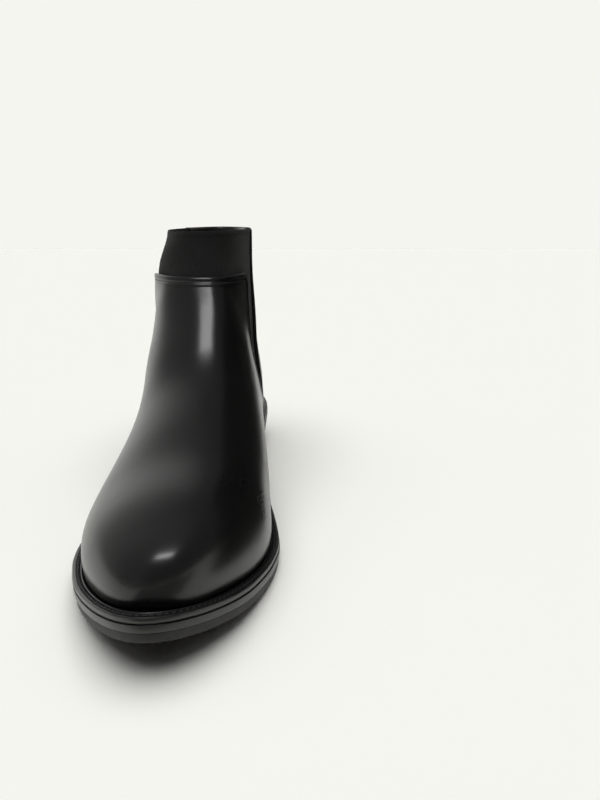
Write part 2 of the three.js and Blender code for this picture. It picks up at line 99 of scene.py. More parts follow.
# Sections of the upper from toe to rim: front (or top) point s, z; back (or bottom) point s, z;
# where the widest line lies between them; medial and lateral half widths; roundness above, below;
# how far the ridge of the instep leans towards the medial side.
STATIONS = np.array([
    [291, 30, 291, 30, 0.5, 0, 0, 2, 2, 0],
    [286.3, 44, 286.3, 7, 0.6, 14.5, 12.4, 2.1, 2.2, 4],
    [272, 51.6, 272, 3, 0.47, 26.5, 25.6, 2.1, 2.4, 7],
    [252.5, 58.5, 252.5, -4, 0.42, 37, 37, 2, 2.5, 9],
    [229.5, 64.5, 229.5, -6, 0.38, 44, 44.2, 1.8, 2.5, 10],
    [205, 75, 205, -5, 0.32, 44, 45.5, 1.75, 2.4, 10],
    [175, 90.5, 172, -2, 0.31, 41.5, 42, 1.8, 2.1, 10],
    [156.5, 108, 135, 3, 0.34, 38, 38, 1.95, 2, 9],
    [143, 124.5, 92, 14, 0.36, 34.5, 37, 2.2, 2.1, 8],
    [133.5, 138, 48, 12, 0.34, 31.5, 36.5, 2.6, 2.4, 5],
    [127.5, 146.5, 8.5, 19, 0.42, 30, 35.5, 2.9, 2.5, 4],
    [123.5, 153.5, 2.8, 48, 0.46, 29.5, 35, 3, 2.3, 3],
    [120.5, 160, 7.5, 86, 0.5, 29, 33, 3, 2.2, 3],
    [118.8, 166, 10.5, 124, 0.55, 28.8, 28.8, 2.8, 2.2, 4],
    [118, 171.5, 8, 155, 0.57, 29.2, 25.8, 2.7, 2.2, 4],
    [117.5, 184, 5, 188, 0.57, 29.5, 24.5, 2.7, 2.2, 4],
])

# Edge of the sole seen from above: x, s, from the heel back round by the medial side
SOLE_EDGE = np.array([
    [0, 0], [15, 3.8], [26, 16], [31.5, 36], [33, 62], [33.5, 95], [35, 128], [39.5, 160],
    [45.5, 190], [48.6, 217], [46.3, 235], [42, 250], [36.5, 264], [29.5, 276], [19.5, 288.3],
    [9.5, 296], [0.5, 298.5], [-8.5, 295.8], [-18.3, 288], [-27.8, 277], [-36.2, 264.6], [-43.3, 250],
    [-48.6, 235], [-51, 217.5], [-48, 190], [-41.5, 160], [-38, 128], [-37, 95], [-36.5, 62],
    [-34.5, 36], [-28.5, 16], [-16.5, 3.8],
])

# Edge of the elastic gore seen from the side: s, and height as a share of the way from the gore's
# lowest point to the vamp's top edge
GORE_EDGE = np.array([
    [36, 1.7], [44, 1.1], [52, 0.7], [62, 0.35], [73, 0.08], [83, 0], [92, 0.08], [95.5, 0.35],
    [94, 0.7], [90, 1], [89, 1.7],
])

REFERENCE_LENGTH = 298.5
REFERENCE_RIM = 167.0
ALONG = SOLE_LENGTH / REFERENCE_LENGTH
UP = RIM_HEIGHT / REFERENCE_RIM
GORE_LOW = 83 * ALONG
REACH = 400.0


def smoothstep(value, low, high):
    t = np.clip((value - low) / (high - low), 0, 1)
    return t * t * (3 - 2 * t)


def underside(s):
    s = np.asarray(s, float)
    ball_back, ball_front = 0.62 * SOLE_LENGTH, 0.7 * SOLE_LENGTH
    t = np.clip((s - HEEL_LENGTH) / (ball_back - HEEL_LENGTH), 0, 1)
    rise = np.clip((s - ball_front) / (SOLE_LENGTH - ball_front), 0, None)
    return HEEL_HEIGHT * (1 + np.cos(math.pi * t)) / 2 + TOE_SPRING * rise * rise


def rim_height(s):
    return RIM_HEIGHT + RIM_RISE * (1 - s / (118 * ALONG))


def toe_swing(s):
    return TOE_SWING * np.clip((s / SOLE_LENGTH - 0.4) / 0.6, 0, None) ** 1.5


def shaft_sway(z):
    return -SHAFT_SWAY * smoothstep(z, 0.25 * RIM_HEIGHT, 0.57 * RIM_HEIGHT)


# ---------------------------------------------------------------- curves

def closed_curve(keys, steps):
    """Smooth closed curve through the keys (centripetal Catmull-Rom)."""
    points = []
    count = len(keys)
    for i in range(count):
        p0, p1, p2, p3 = (keys[(i + k) % count] for k in (-1, 0, 1, 2))
        knots = np.cumsum([0] + [np.linalg.norm(b - a) ** 0.5 for a, b in ((p0, p1), (p1, p2), (p2, p3))])
        t = np.linspace(knots[1], knots[2], steps, endpoint=False)[:, None]
        a1 = p0 + (p1 - p0) * (t - knots[0]) / (knots[1] - knots[0])
        a2 = p1 + (p2 - p1) * (t - knots[1]) / (knots[2] - knots[1])
        a3 = p2 + (p3 - p2) * (t - knots[2]) / (knots[3] - knots[2])
        b1 = a1 + (a2 - a1) * (t - knots[0]) / (knots[2] - knots[0])
        b2 = a2 + (a3 - a2) * (t - knots[1]) / (knots[3] - knots[1])
        points.append(b1 + (b2 - b1) * (t - knots[1]) / (knots[2] - knots[1]))
    return np.concatenate(points)


def spaced(points, count, closed=True):
    """The same path with count points at even distances."""
    path = np.vstack([points, points[:1]]) if closed else np.asarray(points)
    far = np.concatenate([[0], np.cumsum(np.linalg.norm(np.diff(path, axis=0), axis=1))])
    at = np.linspace(0, far[-1], count, endpoint=not closed)
    return np.stack([np.interp(at, far, path[:, k]) for k in range(path.shape[1])], 1)


def softened(values, rounds):
    for _ in range(rounds):
        values = (np.roll(values, 1, 0) + 2 * values + np.roll(values, -1, 0)) / 4
    return values


def outward(path):
    """Unit normals in plan of a closed path that runs anticlockwise seen from below its +s end."""
    step = np.roll(path, -1, 0) - np.roll(path, 1, 0)
    step /= np.linalg.norm(step, axis=1)[:, None]
    return np.stack([step[:, 1], -step[:, 0]], 1)


across_keys = SOLE_EDGE * [1, ALONG]
natural_edge = closed_curve(across_keys, 12)
natural_edge[:, 0] += toe_swing(natural_edge[:, 1])
ACROSS = (sole_high[0] - sole_low[0]) / np.ptp(natural_edge[:, 0])
sole_keys = SOLE_EDGE * [ACROSS, ALONG]
SOLE_POINTS = 1700
sole_edge = softened(spaced(closed_curve(sole_keys, 40), SOLE_POINTS), 20)
sole_out = outward(sole_edge)
sole_swung = sole_edge[:, 0] + toe_swing(sole_edge[:, 1])
SHIFT_X = float((sole_low[0] + sole_high[0]) / 2 - (sole_swung.min() + sole_swung.max()) / 2)


def place(x, s, z):
    return np.stack(np.broadcast_arrays(x + SHIFT_X, MIDDLE_S - s, z), -1).astype(float)


# ---------------------------------------------------------------- the upper's surface

def section_rows():
    front_s, front_z, back_s, back_z, share, medial, lateral, above, below, lean = STATIONS.T
    s = (back_s + share * (front_s - back_s)) * ALONG
    z = (back_z + share * (front_z - back_z)) * UP
    rows = np.stack([
        s, z, front_s * ALONG - s, front_z * UP - z, back_s * ALONG - s, back_z * UP - z,
        medial * ACROSS, lateral * ACROSS, above, below, lean * ACROSS,
    ], 1)
    flip = np.array([1, 1, -1, -1, -1, -1, -1, -1, 1, 1, 1])
    return np.vstack([rows[3:0:-1] * flip, rows])


rows = section_rows()
TOE_ROW = 3


def spline_slopes(values):
    """Second derivatives of the natural cubic spline through evenly spaced values."""
    count = len(values)
    system = np.eye(count)
    right = np.zeros_like(values)
    for i in range(1, count - 1):
        system[i, i - 1:i + 2] = (1, 4, 1)
        right[i] = 6 * (values[i - 1] - 2 * values[i] + values[i + 1])
    return np.linalg.solve(system, right)


bends = spline_slopes(rows)


def section_at(t):
    at = np.asarray(t, float) + TOE_ROW
    k = np.clip(np.floor(at).astype(int), 0, len(rows) - 2)
    u = (at - k)[..., None]
    v = 1 - u
    return (v * rows[k] + u * rows[k + 1]
            + ((v ** 3 - v) * bends[k] + (u ** 3 - u) * bends[k + 1]) / 6)


def flattened(value, power):
    """value to the given power, without the sharp crease that a power under two has at zero."""
    soft = 0.03
    base = soft ** (power / 2)
    return ((value * value + soft) ** (power / 2) - base) / ((1 + soft) ** (power / 2) - base)


def skin(t, angle):
    """Point of the outer face: t counts stations, angle runs from the ridge to the medial side."""
    s, z, front_s, front_z, back_s, back_z, medial, lateral, above, below, lean = np.moveaxis(
        section_at(t), -1, 0)
    up, across = np.cos(angle), np.sin(angle)
    power = np.where(up > 0, above, below)
    radius = (np.abs(up) ** power + np.abs(across) ** power) ** (-1 / power)
    for _ in range(3):
        over = flattened(radius * up, power) + flattened(radius * across, power) - 1
        wider = radius * 1.001
        slope = flattened(wider * up, power) + flattened(wider * across, power) - 1 - over
        radius = radius - over * 0.001 * radius / slope
    reach = radius * np.abs(up)
    width = radius * across * np.where(across > 0, medial, lateral)
    point_s = s + reach * np.where(up > 0, front_s, back_s)
    point_z = z + reach * np.where(up > 0, front_z, back_z)
    ridge = np.where(up > 0, lean * reach ** (above / 2 + 1), 0)
    return place(width + ridge + toe_swing(point_s) + shaft_sway(point_z), point_s, point_z)


def skin_normal(t, angle):
    d = 0.02
    along = skin(t + d, angle) - skin(np.maximum(t - d, 0.001), angle)
    t_round = np.maximum(t, d)
    around = skin(t_round, angle + d) - skin(t_round, angle - d)
    normal = np.cross(around, along)
    return normal / np.linalg.norm(normal, axis=-1, keepdims=True)


STEPS_PER_STATION = 24
COLUMNS = 300
ROW_T = np.arange(1, (len(STATIONS) - 1) * STEPS_PER_STATION - 2) / STEPS_PER_STATION
COLUMN_ANGLE = -math.pi + 2 * math.pi * np.arange(COLUMNS) / COLUMNS
grid_t = np.append(np.repeat(ROW_T, COLUMNS), 0.0)
grid_angle = np.append(np.tile(COLUMN_ANGLE, len(ROW_T)), 0.0)
POLE = len(grid_t) - 1
grid_point = skin(grid_t, grid_angle)


def grid_faces():
    corner = np.arange((len(ROW_T) - 1) * COLUMNS).reshape(-1, COLUMNS)
    right = np.roll(corner, -1, 1)
    quads = np.stack([corner, right, right + COLUMNS, corner + COLUMNS], -1).reshape(-1, 4)
    first = np.arange(COLUMNS)
    return quads, [(POLE, int(b), int(a)) for a, b in zip(first, np.roll(first, -1))]


GRID_QUADS, POLE_FACES = grid_faces()


def side_view(points):
    return MIDDLE_S - points[..., 1], points[..., 2]


def inside_by(outline, s, z):
    """Signed distance in side view from the outline's edge, positive inside."""
    outline = np.asarray(outline, float)
    ends = np.roll(outline, -1, 0)
    flat_s, flat_z = np.ravel(s), np.ravel(z)
    near = np.full(flat_s.shape, np.inf)
    within = np.zeros(flat_s.shape, bool)
    for (s0, z0), (s1, z1) in zip(outline, ends):
        ds, dz = s1 - s0, z1 - z0
        t = np.clip(((flat_s - s0) * ds + (flat_z - z0) * dz) / max(ds * ds + dz * dz, 1e-12), 0, 1)
        near = np.minimum(near, np.hypot(flat_s - s0 - t * ds, flat_z - z0 - t * dz))
        if z0 != z1:
            cross = ((z0 > flat_z) != (z1 > flat_z)) & (flat_s < s0 + (flat_z - z0) * ds / dz)
            within ^= cross
    return np.where(within, near, -near).reshape(np.shape(s))


def gore_points(grow):
    heights = GORE_BOTTOM + GORE_EDGE[:, 1] * (VAMP_HEIGHT - GORE_BOTTOM)
    keys = np.stack([GORE_EDGE[:, 0] * ALONG, heights], 1)
    ring = closed_curve(np.vstack([keys, [[60, 400]]]), 12)
    path = ring[:12 * (len(keys) - 1) + 1]
    step = np.gradient(path, axis=0)
    step /= np.linalg.norm(step, axis=1)[:, None]
    return path + np.stack([step[:, 1], -step[:, 0]], 1) * grow


def vamp_outline(margin=0.0, seam_margin=None):
    seam = GORE_LOW + GAP / 2 + (margin if seam_margin is None else seam_margin)
    top = VAMP_HEIGHT - margin
    radius = VAMP_CORNER_RADIUS - margin
    edge = [p for p in gore_points(margin) if p[0] > seam and p[1] < top - radius]
    corner = [(edge[-1][0] + radius * (1 - math.cos(a)), top - radius * (1 - math.sin(a)))
              for a in np.linspace(0, math.pi / 2, 9)]
    return [(REACH, -REACH), (seam, -REACH), (seam, edge[0][1]), *edge, *corner, (REACH, top)]


def quarter_outline(margin=0.0, seam_margin=None):
    seam = GORE_LOW - GAP / 2 - (margin if seam_margin is None else seam_margin)
    edge = [p for p in gore_points(margin) if p[0] < seam]
    return [(edge[0][0], REACH), (-REACH, REACH), (-REACH, -REACH), (seam, -REACH),
            (seam, edge[-1][1]), *edge[::-1]]


def elastic_outline():
    low = VAMP_HEIGHT - SEAM_ALLOWANCE
    edge = [p for p in gore_points(SEAM_ALLOWANCE) if p[0] < GORE_LOW or p[1] < low]
    return [(edge[0][0], REACH), *edge, (edge[-1][0], low), (REACH, low), (REACH, REACH)]


def above_seat(s, z):
    return z - underside(s) - SEAT_LEVEL


def below_rim(s, z):
    return rim_height(s) - z


# ---------------------------------------------------------------- meshes

def piece(name, parts, material, replaces=()):
    """One visible piece from (points, faces) parts, set in the frame."""
    points, faces = [], []
    start = 0
    for part_points, part_faces in parts:
        points.append(np.asarray(part_points))
        faces.append([tuple(int(i) + start for i in face) for face in part_faces])
        start += len(part_points)
    mesh = bpy.data.meshes.new(name)
    all_points = np.vstack(points) * MM
    mesh.from_pydata(all_points.tolist(), [], [face for part in faces for face in part])
    mesh.validate()
    mesh.polygons.foreach_set("use_smooth", [True] * len(mesh.polygons))
    mesh.materials.append(material)
    obj = bpy.data.objects.new(name, mesh)
    bpy.context.scene.collection.objects.link(obj)
    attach(obj, "root")
    if replaces:
        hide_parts(*replaces)
    return obj


def band_faces(rows, columns, closed=True):
    """Faces between rows of points; each row has the same number of points."""
    here = np.arange(columns)
    after = np.roll(here, -1)
    if not closed:
        here, after = here[:-1], after[:-1]
    faces = []
    for k in range(rows - 1):
        a, b = k * columns, (k + 1) * columns
        faces.append(np.stack([a + here, a + after, b + after, b + here], 1))
    return np.concatenate(faces).tolist()


def clipped(field):
    """The grid's faces where field is positive, with the t and angle of every vertex."""
    keep = field > 0
    t, angle = list(grid_t), list(grid_angle)
    cuts = {}

    def cut(a, b):
        key = (min(a, b), max(a, b))
        if key not in cuts:
            share = min(max(field[a] / (field[a] - field[b]), 0.04), 0.96)
            if POLE in (a, b):
                angle.append(grid_angle[b if a == POLE else a])
            else:
                turn = (grid_angle[b] - grid_angle[a] + math.pi) % (2 * math.pi) - math.pi
                angle.append(grid_angle[a] + share * turn)
            t.append(grid_t[a] + share * (grid_t[b] - grid_t[a]))
            cuts[key] = len(t) - 1
        return cuts[key]

    kept_corners = keep[GRID_QUADS].sum(1)
    faces = [tuple(q) for q in GRID_QUADS[kept_corners == 4].tolist()]
    partial = [tuple(q) for q in GRID_QUADS[(kept_corners > 0) & (kept_corners < 4)].tolist()]
    for face in partial + POLE_FACES:
        loop = []
        for a, b in zip(face, face[1:] + face[:1]):
            if keep[a]:
                loop.append(a)
            if keep[a] != keep[b]:
                loop.append(cut(a, b))
        if len(loop) >= 3:
            faces.append(tuple(loop))
    return faces, np.array(t), np.array(angle)


def free_edges(faces):
    directed = set()
    for face in faces:
        directed.update(zip(face, face[1:] + face[:1]))
    return [(a, b) for a, b in directed if (b, a) not in directed]


def shell(field, outer, inner, bulge=0.35):
    """A sheet of leather or cloth: both faces of the clipped grid, joined by a rounded edge.

    outer and inner are depths below the upper's outer face.
    """
    faces, t, angle = clipped(field)
    used = np.unique(np.concatenate([np.array(face) for face in faces]))
    index = np.full(len(t), -1)
    index[used] = np.arange(len(used))
    index = index.tolist()
    faces = [tuple(index[v] for v in face) for face in faces]
    point, normal = skin(t[used], angle[used]), skin_normal(t[used], angle[used])
    top = point - normal * outer
    bottom = point - normal * inner
    edges = free_edges(faces)
    away = np.zeros_like(point)
    for a, b in edges:
        side = np.cross(point[b] - point[a], normal[a])
        away[a] += side
        away[b] += side
    length = np.linalg.norm(away, axis=1, keepdims=True)
    away = np.divide(away, length, out=np.zeros_like(away), where=length > 0)
    count = len(used)
    rim = sorted({v for edge in edges for v in edge})
    rim_index = {v: i for i, v in enumerate(rim)}
    rings = []
    for turn in (math.pi / 4, math.pi / 2, 3 * math.pi / 4):
        share = (1 - math.cos(turn)) / 2
        rings.append((top + (bottom - top) * share + away * bulge * math.sin(turn))[rim])
    last = len(rings) + 1

    def level(v, k):
        if k == 0:
            return v
        if k == last:
            return count + v
        return 2 * count + (k - 1) * len(rim) + rim_index[v]

    walls = [(level(b, k), level(a, k), level(a, k + 1), level(b, k + 1))
             for a, b in edges for k in range(last)]
    back = [tuple(count + v for v in face[::-1]) for face in faces]
    return np.vstack([top, bottom] + rings), faces + back + walls


def contour(field, wanted=None):
    """The longest path along the grid where field is zero and wanted is positive: t and angle."""
    keep = field > 0
    corners = keep[GRID_QUADS]
    mixed = corners.any(1) & ~corners.all(1)
    if wanted is not None:
        mixed &= (wanted[GRID_QUADS] > 0).all(1)
    links, places = {}, {}

    def cut(a, b):
        key = (min(a, b), max(a, b))
        if key not in places:
            share = field[a] / (field[a] - field[b])
            turn = (grid_angle[b] - grid_angle[a] + math.pi) % (2 * math.pi) - math.pi
            places[key] = (grid_t[a] + share * (grid_t[b] - grid_t[a]), grid_angle[a] + share * turn)
        return key

    for face in GRID_QUADS[mixed].tolist():
        loop = zip(face, face[1:] + face[:1])
        crossings = [cut(a, b) for a, b in loop if keep[a] != keep[b]]
        for one, other in zip(crossings[::2], crossings[1::2]):
            links.setdefault(one, []).append(other)
            links.setdefault(other, []).append(one)
    paths = []
    left = set(links)
    while left:
        ends = [key for key in left if len(links[key]) == 1]
        here = min(ends) if ends else min(left)
        path = []
        while here is not None:
            left.discard(here)
            path.append(places[here])
            following = [key for key in links[here] if key in left]
            here = following[0] if following else None
        paths.append(np.array(path))
    return sorted(paths, key=len, reverse=True)


def even(path, spacing, closed, smooth_rounds=6):
    """The path of (t, angle) at even spacing in millimetres, with grid steps smoothed away."""
    t, angle = path[:, 0], np.unwrap(path[:, 1])
    winding = 0.0
    if closed:
        step = (angle[0] - angle[-1] + math.pi) % (2 * math.pi) - math.pi
        winding = angle[-1] + step - angle[0]
        t, angle = np.append(t, t[0]), np.append(angle, angle[-1] + step)
    point = skin(t, angle)
    far = np.concatenate([[0], np.cumsum(np.linalg.norm(np.diff(point, axis=0), axis=1))])
    count = max(int(far[-1] / spacing), 4)
    at = np.linspace(0, far[-1], count, endpoint=not closed)
    t, angle = np.interp(at, far, t), np.interp(at, far, angle)
    for _ in range(smooth_rounds):
        ends = t[[0, -1]], angle[[0, -1]]
        before, after = np.roll(angle, 1), np.roll(angle, -1)
        before[0] -= winding
        after[-1] += winding
        angle = (before + 2 * angle + after) / 4
        t = (np.roll(t, 1) + 2 * t + np.roll(t, -1)) / 4
        if not closed:
            t[[0, -1]], angle[[0, -1]] = ends
    return t, angle


def directions(point, closed):
    if closed:
        step = np.roll(point, -1, 0) - np.roll(point, 1, 0)
    else:
        step = np.gradient(point, axis=0)
    return step / np.linalg.norm(step, axis=1, keepdims=True)


def slid(t, angle, offset):
    """t and angle of the places that lie offset away, measured along the surface."""
    start = skin(t, angle)
    target = start + offset
    at_t, at_angle = t.copy(), angle.copy()
    d = 0.01
    for _ in range(4):
        here = skin(at_t, at_angle)
        by_t = (skin(at_t + d, at_angle) - skin(at_t - d, at_angle)) / (2 * d)
        by_angle = (skin(at_t, at_angle + d) - skin(at_t, at_angle - d)) / (2 * d)
        gap = target - here
        tt, ta, aa = ((u * v).sum(-1) for u, v in ((by_t, by_t), (by_t, by_angle), (by_angle, by_angle)))
        gt, ga = (gap * by_t).sum(-1), (gap * by_angle).sum(-1)
        size = tt * aa - ta * ta
        at_t = np.clip(at_t + (gt * aa - ga * ta) / size, 0.02, len(STATIONS) - 1.02)
        at_angle = at_angle + (ga * tt - gt * ta) / size
    return at_t, at_angle


def rib(path, profile, closed, inward, spacing=0.8):
    """A shaped band along a path on the upper: profile gives (distance in from the path, height)."""
    t, angle = even(path, spacing, closed)
    point, normal = skin(t, angle), skin_normal(t, angle)
    across = np.cross(normal, directions(point, closed)) * inward
    rows = []
    for distance, height in profile:
        row_t, row_angle = slid(t, angle, across * distance)
        rows.append(skin(row_t, row_angle) + skin_normal(row_t, row_angle) * height)
    count = len(t)
    faces = band_faces(len(rows), count, closed)
    if inward < 0:
        faces = [face[::-1] for face in faces]
    return np.vstack(rows), faces


def run_of(path, spacing, inset, closed, inward, height=0.0):
    """Evenly spaced points, directions and normals beside a path on the upper."""
    t, angle = even(path, spacing, closed)
    point, normal = skin(t, angle), skin_normal(t, angle)
    across = np.cross(normal, directions(point, closed)) * inward
    t, angle = slid(t, angle, across * inset)
    point, normal = skin(t, angle), skin_normal(t, angle)
    return point + normal * height, directions(point, closed), normal


def stitches(run, length, radius):
    """Separate stitches, each a short cord that dips into the surface at both ends."""
    point, direction, normal = run
    rings, sides = 7, 6
    along = np.linspace(-1, 1, rings)
    fat = np.sqrt(np.clip(1 - np.abs(along) ** 3, 0.05, 1))
    dip = -0.9 * radius * along ** 4
    turn = 2 * math.pi * np.arange(sides) / sides
    side = np.cross(normal, direction)
    rows = []
    for a, f, drop in zip(along, fat, dip):
        centre = point + direction * (a * length / 2) + normal * drop
        for k in turn:
            rows.append(centre + (side * math.cos(k) + normal * math.sin(k)) * radius * f)
    points = np.stack(rows, 1).reshape(-1, 3)
    one = []
    for r in range(rings - 1):
        for k in range(sides):
            a, b = r * sides + k, r * sides + (k + 1) % sides
            one.append((a, b, b + sides, a + sides))
    one.append(tuple(range(sides))[::-1])
    one.append(tuple(range((rings - 1) * sides, rings * sides)))
    each = rings * sides
    faces = [tuple(v + i * each for v in face) for i in range(len(point)) for face in one]
    return points, faces


# ---------------------------------------------------------------- the sole

def sole_line(path, normals, inset, level, base=underside):
    at = path - normals * np.broadcast_to(inset, (len(path),))[:, None]
    return place(at[:, 0] + toe_swing(at[:, 1]), at[:, 1], base(at[:, 1]) + level)


def middle_line(path):
    """For each edge point, the point of the middle line that a sheet's inner rings shrink towards."""
    low, high = path[:, 1].min(), path[:, 1].max()
    end = min(28.0, (high - low) / 3)
    s = np.clip(path[:, 1], low + end, high - end)
    toe, heel = int(np.argmax(path[:, 1])), int(np.argmin(path[:, 1]))
    turned = np.roll(path, -heel, 0)
    cut = (toe - heel) % len(path)
    one, other = turned[:cut + 1], turned[cut:][::-1]
    x = [np.interp(s, side[:, 1], side[:, 0]) for side in (one, other)]
    return np.stack([(x[0] + x[1]) / 2, s], 1)


def plate(path, normals, profile, base=underside, shares=(0.3, 0.6, 0.85)):
    """A sheet: its profile runs from the upper face round the edge to the lower face."""
    middle = middle_line(path)
    rows = []

    def inner(inset, level, share):
        at = path - normals * inset
        at = at + (middle - at) * share
        rows.append(place(at[:, 0] + toe_swing(at[:, 1]), at[:, 1], base(at[:, 1]) + level))

    for share in (1, *shares[::-1]):
        inner(profile[0][0], profile[0][1], share)
    for inset, level in profile:
        rows.append(sole_line(path, normals, inset, level, base))
    for share in (*shares, 1):
        inner(profile[-1][0], profile[-1][1], share)
    return np.vstack(rows), band_faces(len(rows), len(path))


def rounded_edge(inset, top, bottom, radius, corner_steps=4):
    """Profile of a sheet's edge with both corners rounded."""
    turn = np.linspace(0, math.pi / 2, corner_steps + 1)
    upper = [(inset + radius * (1 - math.sin(a)), top - radius * (1 - math.cos(a))) for a in turn]
    lower = [(inset + radius * (1 - math.sin(a)), bottom + radius * (1 - math.cos(a))) for a in turn]
    return upper + lower[::-1]


def level_zero(s):
    return np.zeros_like(s)


def inward_sign(path, closed, field):
    """+1 where the field grows to the left of the path's direction, seen from outside, else -1."""
    t, angle = even(path, 4.0, closed)
    point, normal = skin(t, angle), skin_normal(t, angle)
    across = np.cross(normal, directions(point, closed))
    gains = [field(*side_view(skin(*slid(t, angle, across * step)))).mean() for step in (1.0, -1.0)]
    return 1 if gains[0] > gains[1] else -1


# ---------------------------------------------------------------- materials

def linear(code):
    """Linear colour from an sRGB hex code."""
    parts = [int(code[i:i + 2], 16) / 255 for i in (1, 3, 5)]
    return tuple(c / 12.92 if c <= 0.04045 else ((c + 0.055) / 1.055) ** 2.4 for c in parts) + (1.0,)


def node(tree, kind, links=(), **settings):
    """Adds a node; settings name its properties or inputs, links its inputs' sources."""
    made = tree.nodes.new(kind)
    for key, value in settings.items():
        if hasattr(made, key):
            setattr(made, key, value)
        else:
            made.inputs[key.replace("_", " ")].default_value = value
    for key, source in dict(links).items():
        tree.links.new(source, made.inputs[key])
    return made


def surface(name, colour, **settings):
    """A material with its Principled shader: returns material, tree and shader."""
    material = bpy.data.materials.new(name)
    material.use_nodes = True
    tree = material.node_tree
    shader = tree.nodes["Principled BSDF"]
    shader.inputs["Base Color"].default_value = linear(colour)
    for key, value in settings.items():
        shader.inputs[key.replace("_", " ")].default_value = value
    return material, tree, shader


def per_metre(millimetres):
    return 1 / (millimetres * MM)


def blend_colours(tree, factor, dark, light):
    ramp = node(tree, "ShaderNodeValToRGB", {"Fac": factor})
    ramp.color_ramp.elements[0].color = linear(dark)
    ramp.color_ramp.elements[1].color = linear(light)
    return ramp.outputs["Color"]


def ranged(tree, value, low, high):
    spread = node(tree, "ShaderNodeMapRange", {"Value": value}, To_Min=low, To_Max=high)
    return spread.outputs["Result"]


def polished_calf():
    """Box calf, drum dyed black, waxed and brushed: near black with a clear soft gloss; the pores
    show only as a faint break-up of the highlight, with slow waves where the hide was lasted."""
    material, tree, shader = surface(
        "polished_black_calf", "#0a0a0a", IOR=1.5, Coat_Weight=0.15, Coat_Roughness=0.2)
    place_in = node(tree, "ShaderNodeTexCoord").outputs["Object"]
    pores = node(tree, "ShaderNodeTexNoise", {"Vector": place_in}, Scale=per_metre(0.9), Detail=2.0)
    waves = node(tree, "ShaderNodeTexNoise", {"Vector": place_in}, Scale=per_metre(9), Detail=3.0)
    wear = node(tree, "ShaderNodeTexNoise", {"Vector": place_in}, Scale=per_metre(26), Detail=5.0)
    tree.links.new(blend_colours(tree, wear.outputs["Fac"], "#070707", "#0d0d0e"),
                   shader.inputs["Base Color"])
    tree.links.new(ranged(tree, wear.outputs["Fac"], 0.24, 0.34), shader.inputs["Roughness"])
    slow = node(tree, "ShaderNodeBump", {"Height": waves.outputs["Fac"]}, Strength=0.12, Distance=0.5 * MM)
    fine = node(tree, "ShaderNodeBump", {"Height": pores.outputs["Fac"],
                                         "Normal": slow.outputs["Normal"]},
                Strength=0.16, Distance=0.05 * MM)
    tree.links.new(fine.outputs["Normal"], shader.inputs["Normal"])
    return material


def ribbed_elastic():
    """Cotton-covered rubber elastic, woven with upright ribs: matte, dark and finely lined; its colour also
    carries painted shade, darker in the grooves between the ribs.
    """
    material, tree, shader = surface(
        "woven_black_elastic", "#161617", Roughness=0.92, IOR=1.45, Sheen_Weight=0.06,
        Sheen_Roughness=0.5)
    rib_pitch, pick_pitch = 1.1, 0.7
    along = node(tree, "ShaderNodeSeparateXYZ", {"Vector": node(
        tree, "ShaderNodeUVMap", uv_map="cloth").outputs["UV"]})

    def waves(axis, pitch):
        turn = node(tree, "ShaderNodeMath", {0: along.outputs[axis]}, operation="MULTIPLY")
        turn.inputs[1].default_value = 2 * math.pi * per_metre(pitch)
        return node(tree, "ShaderNodeMath", {0: turn.outputs[0]}, operation="SINE").outputs[0]

    ribs = waves("X", rib_pitch)
    picks = waves("Y", pick_pitch)
    woven = node(tree, "ShaderNodeMath", {0: picks, 1: ribs}, operation="MULTIPLY_ADD")
    woven.inputs[1].default_value = 0.35
    tree.links.new(ribs, woven.inputs[2])
    place_in = node(tree, "ShaderNodeTexCoord").outputs["Object"]
    fluff = node(tree, "ShaderNodeTexNoise", {"Vector": place_in}, Scale=per_metre(1.2), Detail=4.0)
    # Colour: random fluff tone times painted shade from the ribs, darker in the grooves and lighter on the
    # crests
    fluff_and_rib_shade = node(tree, "ShaderNodeMath", {0: fluff.outputs["Fac"], 1: ranged(
        tree, ribs, 0.75, 1.15)}, operation="MULTIPLY")
    tree.links.new(blend_colours(tree, fluff_and_rib_shade.outputs[0], "#040404", "#101011"),
                   shader.inputs["Base Color"])
    relief = node(tree, "ShaderNodeBump", {"Height": woven.outputs[0]}, Strength=0.55, Distance=0.12 * MM)
    loose = node(tree, "ShaderNodeBump", {"Height": fluff.outputs["Fac"],
                                          "Normal": relief.outputs["Normal"]},
                 Strength=0.4, Distance=0.15 * MM)
    tree.links.new(loose.outputs["Normal"], shader.inputs["Normal"])
    return material


def grained(name, dark, light, grain, roughness, relief, **settings):
    """A dyed or natural material with an even grain: its colour, gloss and relief follow the grain."""
    material, tree, shader = surface(name, dark, **settings)
    place_in = node(tree, "ShaderNodeTexCoord").outputs["Object"]
    grains = node(tree, "ShaderNodeTexNoise", {"Vector": place_in}, Scale=per_metre(grain), Detail=5.0)
    clouds = node(tree, "ShaderNodeTexNoise", {"Vector": place_in}, Scale=per_metre(grain * 14), Detail=3.0)
    tree.links.new(blend_colours(tree, clouds.outputs["Fac"], dark, light), shader.inputs["Base Color"])
    tree.links.new(ranged(tree, clouds.outputs["Fac"], roughness * 0.85, roughness * 1.15),
                   shader.inputs["Roughness"])
    bump = node(tree, "ShaderNodeBump", {"Height": grains.outputs["Fac"]}, Strength=0.4,
                Distance=relief * MM)
    tree.links.new(bump.outputs["Normal"], shader.inputs["Normal"])
    return material


CALF = polished_calf()
ELASTIC = ribbed_elastic()
# Waxed linen thread: dull, with a faint gloss where the wax was rubbed
THREAD = grained("waxed_black_thread", "#101010", "#1d1d1d", 0.3, 0.5, 0.08, IOR=1.45)
# Glazed sheepskin lining, dyed black: dull, slightly warm and softly creased
LINING = grained("black_lining_leather", "#151312", "#221f1d", 0.5, 0.7, 0.12, IOR=1.45)
